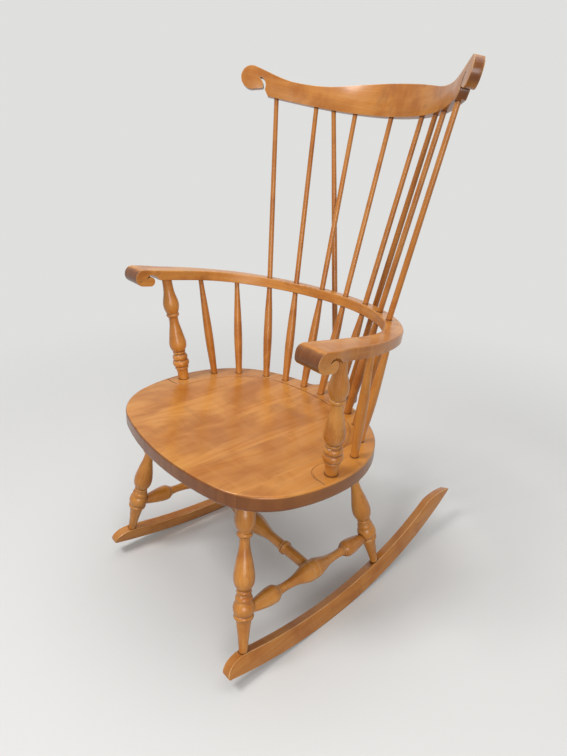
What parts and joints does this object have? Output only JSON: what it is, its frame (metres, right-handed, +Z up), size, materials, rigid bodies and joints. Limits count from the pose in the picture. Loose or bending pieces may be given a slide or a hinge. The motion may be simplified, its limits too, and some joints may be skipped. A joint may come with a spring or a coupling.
{
  "type": "rocking chair",
  "caption": "Comb-back Windsor rocking armchair with a saddled seat, bent arm bow with carved knuckles, scrolled crest rail and turned legs on curved rockers.",
  "frame": {"origin": "on the floor, midway between the ends of the rockers front to back and between the arms side to side", "axes": "+Z up, +Y towards the back of the chair, +X towards the sitter's left"},
  "size_m": [0.6226, 0.7554, 1.0896],
  "materials": {
    "seat_wood": "satin lacquer",
    "turned_wood": "satin lacquer",
    "bent_wood": "satin lacquer",
    "rocker_wood": "satin lacquer",
    "brad_steel": "dull"
  },
  "bodies": {
    "root": {"seat": "seat_wood", "leg_front_left": "turned_wood", "leg_front_right": "turned_wood", "leg_rear_left": "turned_wood", "leg_rear_right": "turned_wood", "side_stretcher_left": "turned_wood", "side_stretcher_right": "turned_wood", "medial_stretcher": "turned_wood", "rocker_left": "rocker_wood", "rocker_right": "rocker_wood", "arm_bow": "bent_wood", "knuckle_block_left": "bent_wood", "knuckle_block_right": "bent_wood", "knuckle_brads": "brad_steel", "arm_post_left": "turned_wood", "arm_post_right": "turned_wood", "short_spindle_front_left": "turned_wood", "short_spindle_front_right": "turned_wood", "short_spindle_rear_left": "turned_wood", "short_spindle_rear_right": "turned_wood", "long_spindle_1": "turned_wood", "long_spindle_2": "turned_wood", "long_spindle_3": "turned_wood", "long_spindle_4": "turned_wood", "long_spindle_5": "turned_wood", "long_spindle_6": "turned_wood", "long_spindle_7": "turned_wood", "brace_spindle_left": "turned_wood", "brace_spindle_right": "turned_wood", "crest_rail": "bent_wood"}
  },
  "joints": []
}
